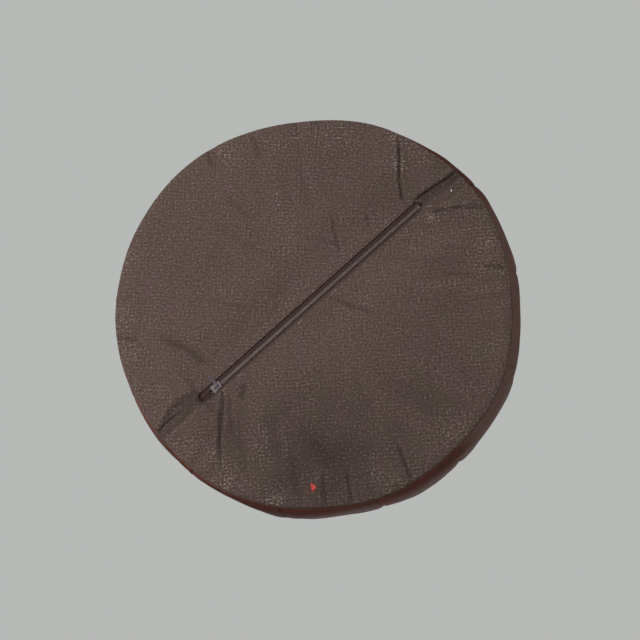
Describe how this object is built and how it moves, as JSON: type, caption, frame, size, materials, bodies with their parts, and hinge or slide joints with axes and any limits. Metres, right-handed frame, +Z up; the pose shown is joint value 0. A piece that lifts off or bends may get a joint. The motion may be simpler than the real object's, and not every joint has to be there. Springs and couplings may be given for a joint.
{
  "type": "leather pouf",
  "caption": "Round stuffed leather pouf: puffed side panels, gored crown with a covered button, and a woven fabric base closed by a zip with a sliding puller.",
  "frame": {"origin": "centre of the base, on the surface the pouf stands on", "axes": "+Z up with the seat on top; +X along the zip, from the parked slider towards its bottom stop"},
  "size_m": [0.6017, 0.6019, 0.3451],
  "materials": {
    "leather": "satin",
    "base_fabric": "matte",
    "zip_tape": "matte",
    "zip_teeth": "satin",
    "zip_slider": "satin",
    "button_mould": "matte",
    "calico": "matte",
    "filling": "matte"
  },
  "bodies": {
    "pouf": {"side_panel_01": "leather", "side_panel_02": "leather", "side_panel_03": "leather", "side_panel_04": "leather", "side_panel_05": "leather", "side_panel_06": "leather", "side_panel_07": "leather", "side_panel_08": "leather", "side_panel_09": "leather", "side_panel_10": "leather", "side_panel_11": "leather", "side_panel_12": "leather", "side_panel_13": "leather", "crown_gore_01": "leather", "crown_gore_02": "leather", "crown_gore_03": "leather", "crown_gore_04": "leather", "crown_gore_05": "leather", "crown_gore_06": "leather", "crown_gore_07": "leather", "crown_gore_08": "leather", "crown_gore_09": "leather", "crown_gore_10": "leather", "crown_gore_11": "leather", "crown_gore_12": "leather", "crown_gore_13": "leather", "crown_button_cover": "leather", "crown_backing_disc": "leather", "base_panel_large": "base_fabric", "base_panel_small": "base_fabric", "zip_tape_large": "zip_tape", "zip_tape_small": "zip_tape", "zip_teeth_large": "zip_teeth", "zip_teeth_small": "zip_teeth", "zip_top_stops": "zip_teeth", "zip_bottom_stop": "zip_teeth", "crown_button_mould": "button_mould", "crown_button_shank": "button_mould", "liner_base": "calico", "liner_band": "calico", "liner_top": "calico", "filling": "filling"},
    "slider": {"zip_slider": "zip_slider"},
    "pull_tab": {"zip_pull_tab": "zip_slider"}
  },
  "joints": [
    {"name": "slider_travel", "type": "slide", "parent": "pouf", "child": "slider", "axis": [1, 0, 0], "range_m": [0, 0.3855], "deforming": ["zip_teeth_large", "zip_teeth_small"]},
    {"name": "pull_tab_swivel", "type": "hinge", "parent": "slider", "child": "pull_tab", "pos_m": [-0.1784, -0.01, 0.0062], "axis": [0, 0, 1], "range_deg": [-50, 230]}
  ]
}
